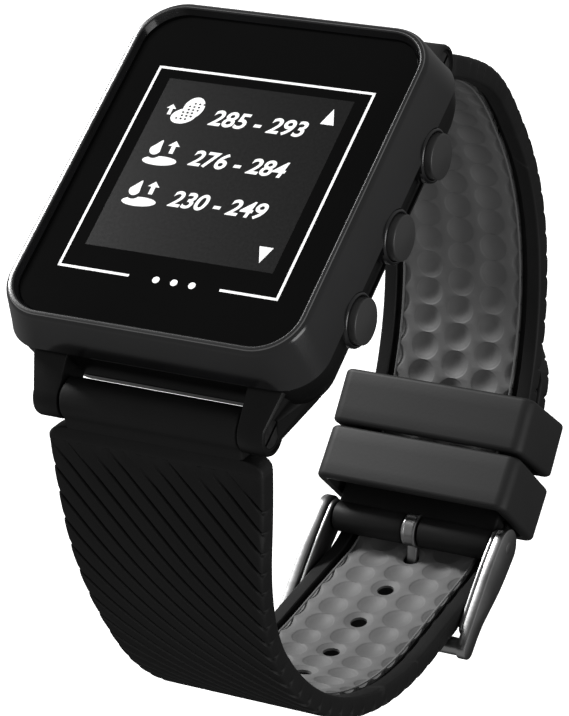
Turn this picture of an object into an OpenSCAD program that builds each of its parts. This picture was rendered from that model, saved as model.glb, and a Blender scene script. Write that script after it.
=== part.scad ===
// Golf GPS watch on its rubber strap, buckled into a loop.
// Origin: centre of the case back's outer face. +Z out of the display, +Y to 12 o'clock,
// +X to the side with the buttons. Millimetres.

/* [Case] */
// Width of the case at its widest, without the buttons
case_w = 38.7; // [38.2:0.1:39.2]
// Length of the case at its longest, without the lugs
case_l = 44.6; // [44.2:0.1:44.8]
// Thickness of the watch from case back to the rim round the glass
case_t = 12.9; // [12.7:0.1:13.5]
// Height of the glossy upper case
upper_h = 6; // [5.7:0.1:6.1]
// Radius of the case corners seen from above
corner_r = 6.5; // [6:0.1:7]
// Thickness of the steel rear cover
cover_t = 0.9; // [0.8:0.05:1]

/* [Display] */
// Side of the square module behind the glass
display_w = 27; // [25:0.5:27]
// Length of the display module along 12 to 6 o'clock
display_l = 29.8; // [27:0.1:30]
// Thickness of the glass
lens_t = 1; // [0.8:0.05:1.1]
// How far the case's rim stands above the glass
rim_rise = 0.9; // [0.7:0.05:1]

/* [Buttons] */
// Distance between neighbouring buttons
button_pitch = 11; // [10:0.1:11.5]
// Radius of a button's cap
button_r = 2.55; // [2.3:0.05:2.6]
// How far a cap stands out from the case's middle plane
button_reach = 20.5; // [20:0.1:21]

/* [Strap] */
// Gap between the lugs, where the strap's end sits
lug_gap = 22.1; // [22:0.05:22.5]
// Strap's width just below the lugs
shoulder_w = 26.6; // [25:0.1:27]
// Strap's width at the buckle
strap_w = 21.6; // [20:0.1:21.8]
// Thickness of the strap
strap_t = 2.6; // [2.2:0.05:2.8]
// Distance between neighbouring holes
hole_pitch = 7.2; // [6.5:0.1:7.4]

/* [Buckle] */
// Length from the buckle's bar to its far bar
buckle_l = 14.1; // [13.8:0.1:14.4]
// Thickness of each buckle arm
arm_t = 1.6; // [1.2:0.1:1.7]
// Length of each keeper along the strap
keeper_l = 7; // [6:0.1:7]

/* [Hidden] */
$fn = 64;
hull_fn = 32;
gap = 0.05;                 // small fitting gap between neighbouring pieces
over = 1;                   // how far a cutter runs past the face that it cuts

// Case
seam_z = case_t - upper_h;              // joint between upper and lower case
rim_w = case_w - 3;                     // top of the rim round the glass
rim_l = case_l - 1.7;
lens_w = case_w - 4.6;
lens_l = case_l - 3.4;
lens_r = corner_r - 1.9;
lens_top = case_t - rim_rise;
lens_z = lens_top - lens_t;
ledge_z = lens_z - 0.2;                 // the lens gasket fills the 0.2
ledge_t = 0.8;
cavity_w = 28.6;
cavity_l = 36.6;
cavity_r = 3;
cover_w = 31.2;
cover_l = 41.4;
boss_x = 12.6;
boss_y = 17.1;
screw_r = 0.7;
screw_head_r = 1.3;
screw_head_h = 0.5;
display_y = -0.1;
board_z = 6.8;
board_t = 0.8;
contact_y = 11;
CONTACT_X = [-4.5, -1.5, 1.5, 4.5];

// Lugs and the bars through them
pin_y = 24.9;
pin_z = 2.6;
lug_r = 2.4;
lug_heel_y = 20.6;                       // each lug grows out of the case's end wall round here
lug_heel_z = 4.5;
lug_heel_r = 2.25;
lug_t = 3.2;
lug_out = lug_gap / 2 + lug_t;
bar_r = 0.9;
bar_half = lug_gap / 2 + 1.6;
lug_screw_r = 0.6;
lug_head_r = 1.5;
lug_head_h = 0.7;

// Buttons
button_z = 5.1;
button_travel = 0.7;
collar_r = button_r + 0.5;
collar_reach = 19.4;
channel_x = 18.1;                        // floor of the channel that the collars stand in
stem_r = 1;
BUTTON_Y = [button_pitch, 0, -button_pitch];

// Straps: each half leaves its lug bar at a heading below the horizontal and
// follows arcs given as [length, turn in degrees]; a positive turn bends it inwards
upper_heading = 49.78;
UPPER_ARCS = [[14.47, 9.72], [36, 62.5], [38, 55.5]];
lower_heading = 57.36;
LOWER_ARCS = [[13.76, 1.14], [36, 61.5], [22, 35], [14, -1], [8, 35], [30, 34]];
upper_len = 88.47;
lower_len = 123.76;
half_t = strap_t / 2;
ribbon_step = 1.2;                      // length of one flat along a strap's curve
knuckle_r = 2.35;
neck_s = 3;                             // the strap widens to its shoulders from here
neck_half = lug_gap / 2 - 0.1;
shoulder_z = -1;
waist_z = -25;
liner_inset = 2.7;                      // from the strap's edge to the liner
groove_inset = 1.8;                     // from the strap's edge to the groove round the liner
recess_depth = 0.8;
liner_start = 11;
liner_t = 0.7;
liner_floor = -half_t + recess_depth - 0.03;    // the liner clears the recess by a little

// Buckle
buckle_bar_r = 0.75;
bore_fit = 0.05;
wrap_r = 1.95;
arm_in = strap_w / 2 + 0.5;
arm_r = 2.4;
far_bar_r = 1.1;
far_bar_drop = 0.1;                     // the far bar lies a little outside the buckle's bar
ring_w = 1.7;
ring_r = 1.9;
tongue_t = 1;
tongue_w = 1.5;
TONGUE_IN = [1.2, 0.9];                 // where the tongue leaves its ring, along and outwards
TONGUE_BEND = [4.9, 4.4];                // where it has come through the strap and turns
tongue_slant = 27.6;                    // between the tongue and the strap's own normal there
hole_r = 1.05;
hole_used_s = 88.06;                     // where along the lower strap the tongue passes through
HOLE_STEPS = [-4, -3, -2, -1, 1, 2, 3];

// Keepers, placed along the upper strap
keeper_w = 26.2;
keeper_h = 12.4;
keeper_wall = 1.4;
keeper_shift = 0.1;                     // from the upper strap's middle to a keeper's middle
lower_keeper_s = 81.77;
upper_keeper_s = 73.87;
upper_keeper_tilt = 6;                  // the upper keeper lies flatter than the strap under it

// ---- Shared shapes -------------------------------------------------------------------------

module round_rect(w, l, r) {
    square([w - 2 * r, l], center = true);
    square([w, l - 2 * r], center = true);
    for (sx = [-1, 1], sy = [-1, 1])
        translate([sx * (w / 2 - r), sy * (l / 2 - r)])
            circle(r);
}

module plate(w, l, r, z0, z1) {
    translate([0, 0, z0])
        linear_extrude(z1 - z0)
            round_rect(w, l, r);
}

// A flat ring, cut from a plate by a plate that is smaller all round
module frame_ring(w, l, r, width, z0, z1) {
    difference() {
        plate(w, l, r, z0, z1);
        plate(w - 2 * width, l - 2 * width, r - width, z0 - over, z1 + over);
    }
}

// A rod along X from x0 to x1 about the point y, z
module rod(r, x0, x1, y, z) {
    translate([x0, y, z])
        rotate([0, 90, 0])
            cylinder(r = r, h = x1 - x0);
}

module block(x0, x1, y0, y1, z0, z1) {
    translate([x0, y0, z0])
        cube([x1 - x0, y1 - y0, z1 - z0]);
}

module at_bosses() {
    for (sx = [-1, 1], sy = [-1, 1])
        translate([sx * boss_x, sy * boss_y, 0])
            children();
}

module lower_half() {
    mirror([0, 1, 0])
        children();
}

// ---- Strap geometry ------------------------------------------------------------------------

// A place on a strap is [y, z, heading]; this is the place at the end of one arc
function arc_end(p, length, turn) =
    turn == 0
    ? [p[0] + length * cos(p[2]), p[1] - length * sin(p[2]), p[2]]
    : let (r = length * 180 / PI / turn, a = p[2] + turn)
      [p[0] - r * sin(p[2]) + r * sin(a), p[1] - r * cos(p[2]) + r * cos(a), a];

// The place at distance s along a chain of arcs
function place_at(p, arcs, s, i = 0) =
    i == len(arcs) ? p
    : s <= arcs[i][0] ? arc_end(p, s, arcs[i][1] * s / arcs[i][0])
    : place_at(arc_end(p, arcs[i][0], arcs[i][1]), arcs, s - arcs[i][0], i + 1);

// Moves its children to distance s along a strap: +Y runs on along it, +Z points outwards
module on_strap(heading, arcs, s) {
    p = place_at([pin_y, pin_z, heading], arcs, s);
    translate([0, p[0], p[1]])
        rotate([-p[2], 0, 0])
            children();
}

// The strap between s0 and s1 along it, from lo to hi outwards of its middle surface
module ribbon(heading, arcs, s0, s1, lo, hi, half) {
    steps = ceil((s1 - s0) / ribbon_step);
    places = [
        for (i = [0:steps])
            place_at([pin_y, pin_z, heading], arcs, s0 + (s1 - s0) * i / steps)
    ];
    inner = [for (p = places) [p[0] + lo * sin(p[2]), p[1] + lo * cos(p[2])]];
    outer = [for (i = [steps:-1:0]) [
        places[i][0] + hi * sin(places[i][2]), places[i][1] + hi * cos(places[i][2])
    ]];
    rotate([90, 0, 90])
        linear_extrude(2 * half, center = true)
            polygon(concat(inner, outer));
}

// The strap's outline seen from the front, drawn in by inset on both sides
module strap_outline(inset) {
    wide = shoulder_w / 2 - inset;
    slim = strap_w / 2 - inset;
    rotate([90, 0, 0])
        linear_extrude(200, center = true)
            polygon([
                [-wide, 10], [-wide, shoulder_z], [-slim, waist_z], [-slim, -80],
                [slim, -80], [slim, waist_z], [wide, shoulder_z], [wide, 10]
            ]);
}

module strap_body(heading, arcs, length, liner_end) {
    difference() {
        union() {
            rod(knuckle_r, -neck_half, neck_half, pin_y, pin_z);
            ribbon(heading, arcs, 0, neck_s + 0.5, -half_t, half_t, neck_half);
            intersection() {
                ribbon(heading, arcs, neck_s, length, -half_t, half_t, shoulder_w / 2);
                strap_outline(0);
            }
        }
        rod(bar_r + bore_fit, -shoulder_w, shoulder_w, pin_y, pin_z);
        intersection() {
            ribbon(heading, arcs, liner_start - 1, liner_end + 1,
                   -half_t - over, -half_t + recess_depth, shoulder_w / 2);
            strap_outline(groove_inset);
        }
    }
}

module strap_liner(heading, arcs, liner_end) {
    intersection() {
        ribbon(heading, arcs, liner_start, liner_end,
               liner_floor - liner_t, liner_floor, shoulder_w / 2);
        strap_outline(liner_inset);
    }
}

// ---- Case ----------------------------------------------------------------------------------

module upper_shell() {
    hull($fn = hull_fn) {
        plate(case_w, case_l, corner_r, seam_z, seam_z + 0.4);
        plate(rim_w + 0.9, rim_l + 0.9, corner_r - 1, case_t - 0.6, case_t - 0.4);
        plate(rim_w, rim_l, corner_r - 1.4, case_t - 0.1, case_t);
    }
}

module upper_case() {
    color([0.03, 0.03, 0.035])
        difference() {
            union() {
                difference() {
                    upper_shell();
                    plate(cavity_w + 1.6, cavity_l + 1.8, cavity_r, seam_z - over, ledge_z - ledge_t);
                }
                at_bosses()
                    translate([0, 0, seam_z])
                        cylinder(r = 1.5, h = ledge_z - ledge_t - seam_z + 0.2);
            }
            plate(lens_w + 0.1, lens_l + 0.1, lens_r, ledge_z, case_t + over);
            hull($fn = hull_fn) {
                plate(lens_w + 0.1, lens_l + 0.1, lens_r, lens_top, lens_top + 0.05);
                plate(rim_w - 0.9, rim_l - 0.9, corner_r - 1.8, case_t, case_t + 0.1);
            }
            plate(29.6, 38.4, cavity_r, ledge_z - 0.5 * ledge_t, case_t);
            block(-display_w / 2 - gap, display_w / 2 + gap, display_y - display_l / 2 - gap,
                  display_y + display_l / 2 + gap, seam_z, case_t);
            at_bosses()
                translate([0, 0, seam_z - over])
                    cylinder(r = screw_r + gap, h = 3.8);
            for (y = BUTTON_Y)
                rod(collar_r + gap, 14.5, case_w, y, button_z);
        }
}

module lens() {
    color([0.01, 0.01, 0.012])
        plate(lens_w, lens_l, lens_r, lens_z, lens_top);
}

module lens_gasket() {
    color([0.1, 0.1, 0.1])
        frame_ring(lens_w - 0.4, lens_l - 0.4, lens_r, 1.2, ledge_z, lens_z);
}

module display_panel() {
    color([0.12, 0.13, 0.14])
        block(-display_w / 2, display_w / 2, display_y - display_l / 2, display_y + display_l / 2,
              8.9, ledge_z - 0.1);
}

module display_frame() {
    color([0.2, 0.2, 0.2])
        difference() {
            translate([0, -0.9, 7.7])
                linear_extrude(1.15)
                    difference() {
                        round_rect(28.2, 31.6, 1);
                        translate([0, 1])
                            round_rect(21, 23, 1);
                    }
            at_bosses()
                translate([0, 0, 7])
                    cylinder(r = 1.6, h = 3);
        }
}

module main_board() {
    color([0.05, 0.25, 0.12])
        translate([0, 0, board_z])
            linear_extrude(board_t)
                difference() {
                    square([27.6, 35.6], center = true);
                    for (sx = [-1, 1], sy = [-1, 1])
                        translate([sx * 12.9, sy * 17.1])
                            square([4.2, 3.6], center = true);
                }
}

module gps_antenna() {
    color([0.85, 0.8, 0.7])
        block(-6.5, 6.5, 15.1, 17.8, board_z + board_t, ledge_z - ledge_t - 0.2);
}

module battery() {
    color([0.7, 0.7, 0.72])
        block(-13, 10, -15.5, 6.6, 1.3, 5.2);
}

module vibration_motor() {
    color([0.75, 0.75, 0.77])
        translate([-4, 12, 2.4])
            cylinder(r = 4, h = 2.7);
}

module side_switches() {
    color([0.8, 0.8, 0.78])
        for (y = BUTTON_Y)
            block(10.6, 12.6, y - 1.8, y + 1.8, 4.2, board_z);
}

// One lug, from the case's end wall to its rounded nose, between x0 and x1
module lug(x0, x1) {
    hull() {
        rod(lug_r, x0, x1, pin_y, pin_z);
        rod(lug_heel_r, x0, x1, lug_heel_y, lug_heel_z);
    }
}

// The way in for one strap bar and its two screws
module lug_bores() {
    rod(bar_r + gap, -bar_half, bar_half, pin_y, pin_z);
    rod(lug_screw_r + gap, -lug_out, lug_out, pin_y, pin_z);
    for (side = [0, 1])
        mirror([side, 0, 0])
            rod(lug_head_r + 0.1, lug_out - lug_head_h - 0.3, lug_out + over, pin_y, pin_z);
}

module lower_shell() {
    hull($fn = hull_fn) {
        plate(case_w - 1.1, case_l - 0.8, corner_r - 0.4, 4, seam_z);
        plate(case_w - 1.9, case_l - 1.6, corner_r - 0.7, 2.8, 3);
        plate(case_w - 5.1, case_l - 3.1, corner_r - 1.5, cover_t, cover_t + 0.2);
    }
}

module button_way(y) {
    rod(button_r + 0.1, 17.3, 30, y, button_z);
    rod(stem_r + gap, 12, 20, y, button_z);
    rod(1.76, 15.6, 16.4, y, button_z);
}

module lower_case() {
    color([0.02, 0.02, 0.022])
        difference() {
            union() {
                difference() {
                    union() {
                        difference() {
                            lower_shell();
                            block(channel_x, case_w, -button_pitch - 2, button_pitch + 2,
                                  button_z - 1.7, case_t);
                        }
                        for (y = BUTTON_Y)
                            rod(collar_r, 14.6, collar_reach, y, button_z);
                    }
                    plate(cavity_w, cavity_l, cavity_r, -over, case_t);
                }
                at_bosses()
                    translate([0, 0, cover_t])
                        cylinder(r = 1.4, h = seam_z - cover_t);
                for (side = [0, 1], end = [0, 1])
                    mirror([side, 0, 0])
                        mirror([0, end, 0])
                            lug(lug_gap / 2, lug_out);
            }
            at_bosses()
                cylinder(r = screw_r + gap, h = case_t);
            difference() {
                plate(30.9, 38.9, 3.9, cover_t - over, cover_t + 0.6);
                plate(29.3, 37.3, 3.1, -over, case_t);
                at_bosses()
                    cylinder(r = 1.2, h = case_t);
            }
            for (end = [0, 1])
                mirror([0, end, 0])
                    lug_bores();
            for (y = BUTTON_Y)
                button_way(y);
        }
}

module rear_cover() {
    color([0.6, 0.6, 0.6])
        difference() {
            plate(cover_w, cover_l, 4.6, 0, cover_t);
            at_bosses() {
                translate([0, 0, -over])
                    cylinder(r = screw_r + gap, h = 3);
                translate([0, 0, -over])
                    cylinder(r = screw_head_r + gap, h = over + screw_head_h);
            }
            translate([0, contact_y, 0])
                plate(14, 4.4, 1, -over, cover_t + over);
        }
}

module rear_cover_seal() {
    color([0.15, 0.15, 0.15])
        frame_ring(30.7, 38.7, 3.8, 0.6, cover_t, cover_t + 0.55);
}

module rear_cover_screws() {
    color([0.75, 0.75, 0.75])
        at_bosses()
            difference() {
                union() {
                    cylinder(r = screw_head_r, h = screw_head_h);
                    cylinder(r = screw_r, h = 9.4);
                }
                block(-0.9, 0.9, -0.16, 0.16, -over, 0.25);
                block(-0.16, 0.16, -0.9, 0.9, -over, 0.25);
            }
}

module contact_insert() {
    color([0.1, 0.1, 0.1])
        difference() {
            translate([0, contact_y, 0])
                plate(13.9, 4.3, 0.95, 0, cover_t + 0.4);
            for (x = CONTACT_X)
                translate([x, contact_y, -over])
                    cylinder(r = 0.75, h = 5);
        }
}

module charge_contacts() {
    color([0.85, 0.68, 0.3])
        for (x = CONTACT_X)
            translate([x, contact_y, 0])
                cylinder(r = 0.72, h = 1.7);
}

// ---- Buttons -------------------------------------------------------------------------------

module button(y) {
    crown = 0.35;
    dome_r = (button_r * button_r + crown * crown) / (2 * crown);
    color([0.05, 0.05, 0.055])
        translate([0, y, button_z])
            rotate([0, 90, 0])
                difference() {
                    union() {
                        intersection() {
                            translate([0, 0, 18.1])
                                cylinder(r = button_r, h = button_reach - 18.1);
                            translate([0, 0, button_reach - dome_r])
                                sphere(dome_r, $fn = 128);
                        }
                        translate([0, 0, 13.5])
                            cylinder(r = stem_r, h = 5);
                    }
                    difference() {
                        translate([0, 0, 13.75])
                            cylinder(r = stem_r + over, h = 0.4);
                        cylinder(r = 0.7, h = 30);
                    }
                }
}

module button_clip(y) {
    color([0.7, 0.7, 0.7])
        difference() {
            rod(1.45, 13.8, 14.1, y, button_z);
            rod(0.72, 13, 15, y, button_z);
            block(13, 15, y - 0.5, y + 0.5, button_z - 2, button_z);
        }
}

module up_button() { button(BUTTON_Y[0]); }
module ok_button() { button(BUTTON_Y[1]); }
module down_button() { button(BUTTON_Y[2]); }
module up_button_clip() { button_clip(BUTTON_Y[0]); }
module ok_button_clip() { button_clip(BUTTON_Y[1]); }
module down_button_clip() { button_clip(BUTTON_Y[2]); }

module button_seals() {
    color([0.15, 0.15, 0.15])
        for (y = BUTTON_Y)
            translate([16, y, button_z])
                rotate([0, 90, 0])
                    rotate_extrude()
                        translate([1.4, 0])
                            circle(0.34, $fn = 32);
}

// ---- Strap bars ----------------------------------------------------------------------------

module strap_bar() {
    color([0.75, 0.75, 0.76])
        difference() {
            rod(bar_r, -bar_half + gap, bar_half - gap, pin_y, pin_z);
            for (side = [0, 1])
                mirror([side, 0, 0])
                    rod(lug_screw_r + gap, bar_half - 4, bar_half + over, pin_y, pin_z);
        }
}

module upper_strap_bar() { strap_bar(); }
module lower_strap_bar() { lower_half() strap_bar(); }

module strap_bar_screw() {
    difference() {
        union() {
            rod(lug_screw_r, bar_half - 3.8, lug_out - 0.5, pin_y, pin_z);
            rod(lug_head_r, lug_out - lug_head_h - 0.3, lug_out - 0.3, pin_y, pin_z);
        }
        block(lug_out - 0.7, lug_out + over, pin_y - 2, pin_y + 2, pin_z - 0.2, pin_z + 0.2);
    }
}

module strap_bar_screws() {
    color([0.3, 0.3, 0.3])
        for (side = [0, 1], end = [0, 1])
            mirror([side, 0, 0])
                mirror([0, end, 0])
                    strap_bar_screw();
}

// ---- Straps --------------------------------------------------------------------------------

module upper_strap() {
    color([0.06, 0.06, 0.06])
        difference() {
            union() {
                strap_body(upper_heading, UPPER_ARCS, upper_len - 1, upper_len - 7);
                on_strap(upper_heading, UPPER_ARCS, upper_len)
                    rod(wrap_r, -strap_w / 2, strap_w / 2, 0, 0);
            }
            on_strap(upper_heading, UPPER_ARCS, upper_len) {
                rod(buckle_bar_r + bore_fit, -strap_w, strap_w, 0, 0);
                block(-ring_w / 2 - 0.2, ring_w / 2 + 0.2, -wrap_r - 0.6, 4, -4, 4);
            }
        }
}

module upper_liner() {
    color([0.45, 0.45, 0.45])
        strap_liner(upper_heading, UPPER_ARCS, upper_len - 8);
}

module lower_strap_tip() {
    tip_s = lower_len - strap_w / 2;
    intersection() {
        ribbon(lower_heading, LOWER_ARCS, tip_s, lower_len, -half_t, half_t, strap_w / 2);
        on_strap(lower_heading, LOWER_ARCS, tip_s)
            cylinder(r = strap_w / 2, h = 40, center = true);
    }
}

module strap_hole(s) {
    on_strap(lower_heading, LOWER_ARCS, s)
        cylinder(r = hole_r, h = 8, center = true);
}

module lower_strap() {
    tip_s = lower_len - strap_w / 2;
    color([0.06, 0.06, 0.06])
        lower_half()
            difference() {
                union() {
                    strap_body(lower_heading, LOWER_ARCS, tip_s + 0.3, tip_s - 2);
                    lower_strap_tip();
                }
                for (k = HOLE_STEPS)
                    strap_hole(hole_used_s + k * hole_pitch);
                used_hole();
            }
}

// The hole in use is drawn over to the tongue's slant
module used_hole() {
    on_strap(lower_heading, LOWER_ARCS, hole_used_s)
        rotate([tongue_slant, 0, 0])
            cylinder(r = hole_r + 0.15, h = 8, center = true);
}

module lower_liner() {
    tip_s = lower_len - strap_w / 2;
    color([0.45, 0.45, 0.45])
        lower_half()
            difference() {
                strap_liner(lower_heading, LOWER_ARCS, tip_s - 3);
                for (k = HOLE_STEPS)
                    strap_hole(hole_used_s + k * hole_pitch);
                used_hole();
            }
}

module keeper(s, tilt) {
    color([0.07, 0.07, 0.07])
        on_strap(upper_heading, UPPER_ARCS, s)
            rotate([-tilt, 0, 0])
                translate([0, keeper_l / 2, keeper_shift])
                    rotate([90, 0, 0])
                        linear_extrude(keeper_l)
                            difference() {
                                round_rect(keeper_w, keeper_h, 1.6);
                                round_rect(keeper_w - 2 * keeper_wall, keeper_h - 2 * keeper_wall, 0.8);
                            }
}

module upper_keeper() { keeper(upper_keeper_s, upper_keeper_tilt); }
module lower_keeper() { keeper(lower_keeper_s, 0); }

// ---- Buckle, drawn in the frame at the upper strap's end ------------------------------------

module in_buckle() {
    on_strap(upper_heading, UPPER_ARCS, upper_len)
        children();
}

module buckle_arm() {
    hull($fn = hull_fn) {
        rod(arm_r, arm_in, arm_in + arm_t, 0, 0);
        rod(1.9, arm_in, arm_in + arm_t, 0.55 * buckle_l, 0.3 * far_bar_drop);
    }
    hull($fn = hull_fn) {
        rod(1.9, arm_in, arm_in + arm_t, 0.55 * buckle_l, 0.3 * far_bar_drop);
        rod(far_bar_r + 0.3, arm_in, arm_in + arm_t, buckle_l, far_bar_drop);
    }
}

module buckle_frame() {
    color([0.62, 0.62, 0.62])
        in_buckle()
            difference() {
                union() {
                    for (side = [0, 1])
                        mirror([side, 0, 0])
                            buckle_arm();
                    rod(far_bar_r, -arm_in - 0.1, arm_in + 0.1, buckle_l, far_bar_drop);
                }
                rod(buckle_bar_r + bore_fit, -20, 20, 0, 0);
            }
}

module buckle_bar() {
    color([0.7, 0.7, 0.7])
        in_buckle()
            rod(buckle_bar_r, -arm_in - arm_t + 0.2, arm_in + arm_t - 0.2, 0, 0);
}

// A flat strip of width t from p to q with round ends, in the plane of the buckle's side
module strip(p, q, t) {
    d = q - p;
    translate(p) {
        circle(t / 2, $fn = 32);
        rotate(atan2(d[1], d[0]))
            translate([0, -t / 2])
                square([norm(d), t]);
    }
    translate(q)
        circle(t / 2, $fn = 32);
}

module buckle_prong() {
    tip = [buckle_l + 1, far_bar_drop + far_bar_r + tongue_t / 2 + 0.05];
    color([0.7, 0.7, 0.7])
        in_buckle()
            difference() {
                union() {
                    rod(ring_r, -ring_w / 2, ring_w / 2, 0, 0);
                    rotate([90, 0, 90])
                        linear_extrude(tongue_w, center = true) {
                            strip(TONGUE_IN, TONGUE_BEND, tongue_t);
                            strip(TONGUE_BEND, tip, tongue_t);
                        }
                }
                rod(buckle_bar_r + bore_fit, -20, 20, 0, 0);
            }
}

// ---- Nodes ---------------------------------------------------------------------------------

upper_case();
lens();
lens_gasket();
display_panel();
display_frame();
main_board();
gps_antenna();
battery();
vibration_motor();
side_switches();
lower_case();
rear_cover();
rear_cover_seal();
rear_cover_screws();
contact_insert();
charge_contacts();
up_button();
ok_button();
down_button();
up_button_clip();
ok_button_clip();
down_button_clip();
button_seals();
upper_strap_bar();
lower_strap_bar();
strap_bar_screws();
upper_strap();
upper_liner();
lower_strap();
lower_liner();
upper_keeper();
lower_keeper();
buckle_frame();
buckle_bar();
buckle_prong();
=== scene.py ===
"""The looks of a golf GPS watch on its buckled rubber strap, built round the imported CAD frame.

Row frame: origin at the middle of the rear cover's outer face, +Z out of the display, +Y to
12 o'clock, +X to the buttons. Shapes are written in millimetres and turned to metres by piece().
"""

import math

import bmesh
import bpy
import numpy as np
from mathutils import Matrix, Vector


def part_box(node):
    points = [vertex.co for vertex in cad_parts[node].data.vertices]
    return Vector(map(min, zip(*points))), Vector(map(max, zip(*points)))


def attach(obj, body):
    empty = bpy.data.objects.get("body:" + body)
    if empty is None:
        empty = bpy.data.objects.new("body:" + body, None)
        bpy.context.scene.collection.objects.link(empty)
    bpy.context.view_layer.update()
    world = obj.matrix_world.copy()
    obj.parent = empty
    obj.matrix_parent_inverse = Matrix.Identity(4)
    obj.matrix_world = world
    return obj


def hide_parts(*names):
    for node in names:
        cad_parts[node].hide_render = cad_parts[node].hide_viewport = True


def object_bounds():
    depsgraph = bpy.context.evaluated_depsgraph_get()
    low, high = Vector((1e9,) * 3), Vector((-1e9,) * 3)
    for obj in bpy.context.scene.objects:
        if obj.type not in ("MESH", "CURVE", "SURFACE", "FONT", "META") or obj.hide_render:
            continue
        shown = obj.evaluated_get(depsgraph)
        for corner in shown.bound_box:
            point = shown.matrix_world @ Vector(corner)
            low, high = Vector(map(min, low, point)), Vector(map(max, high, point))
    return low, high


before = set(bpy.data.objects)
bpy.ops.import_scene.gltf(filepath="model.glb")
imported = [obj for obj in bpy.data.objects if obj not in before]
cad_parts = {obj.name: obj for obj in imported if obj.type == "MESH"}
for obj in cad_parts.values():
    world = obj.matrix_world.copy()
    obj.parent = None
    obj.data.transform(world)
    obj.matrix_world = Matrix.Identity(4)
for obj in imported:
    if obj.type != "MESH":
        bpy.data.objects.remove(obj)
cad_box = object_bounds()
MM = 0.001


def box_mm(node):
    low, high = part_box(node)
    return low / MM, high / MM


# ---- Sizes taken from the frame ------------------------------------------------------------

upper_low, upper_high = box_mm("upper_case")
lower_high = box_mm("lower_case")[1]
CASE_X, CASE_Y = upper_high.x, upper_high.y       # half width and half length of the upper case
TOP_Z, SEAM_Z = upper_high.z, upper_low.z
COVER_T = box_mm("rear_cover")[1].z
lens_low, lens_high = box_mm("lens")
bar_low, bar_high = box_mm("upper_strap_bar")
PIN_Y, PIN_Z = (bar_low.y + bar_high.y) / 2, (bar_low.z + bar_high.z) / 2
LUG_R = lower_high.y - PIN_Y
LUG_OUT = box_mm("strap_bar_screws")[1].x + 0.3
buckle_low, buckle_high = box_mm("buckle_bar")
BAR_Y, BAR_Z = (buckle_low.y + buckle_high.y) / 2, (buckle_low.z + buckle_high.z) / 2
ARM_OUT = box_mm("buckle_frame")[1].x
CAP_X = box_mm("ok_button")[1].x
BUTTONS = {
    name: ((box_mm(name)[0].y + box_mm(name)[1].y) / 2, (box_mm(name)[0].z + box_mm(name)[1].z) / 2)
    for name in ("up_button", "ok_button", "down_button")
}

CAP_R = 2.55                                      # button cap
COLLAR_R, COLLAR_X = 3.05, 19.4                   # collar round each button, and where it ends
LUG_HEEL, LUG_HEEL_R = (20.6, 4.5), 2.3           # where a lug runs into the case, along y and z
LUG_SWEEP = 2.2                                   # how far a lug's outer side flares at the case
CHANNEL_X, CHANNEL_Z = 18.15, 5.3                 # the recess that the buttons stand in

# The straps repeat the arcs of part.scad: [length, turn in degrees] from a heading below level
UPPER_HEADING, UPPER_ARCS = 49.78, [[14.47, 9.72], [36, 62.5], [38, 55.5]]
LOWER_HEADING = 57.36
LOWER_ARCS = [[13.76, 1.14], [36, 61.5], [22, 35], [14, -1], [8, 35], [30, 34]]
UPPER_LEN, LOWER_LEN = 88.47, 123.76
STRAP_HALF_T = 1.3
SHOULDER_HALF, STRAP_HALF = box_mm("upper_strap")[1].x, 10.8
NECK_HALF = 10.95
SHOULDER_Z, WAIST_Z = -1.0, -25.0
KNUCKLE_R, NECK_S = 2.35, 3.0
RIM_W = 1.8                                       # rubber rim outside the groove round the liner
LINER_INSET = 2.7
RECESS = 0.8
LINER_START = 11.0
HOLE_PITCH, HOLE_USED, HOLE_R = 7.2, 88.06, 1.05
TONGUE_SLANT = 27.6


# ---- Materials -----------------------------------------------------------------------------

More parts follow.
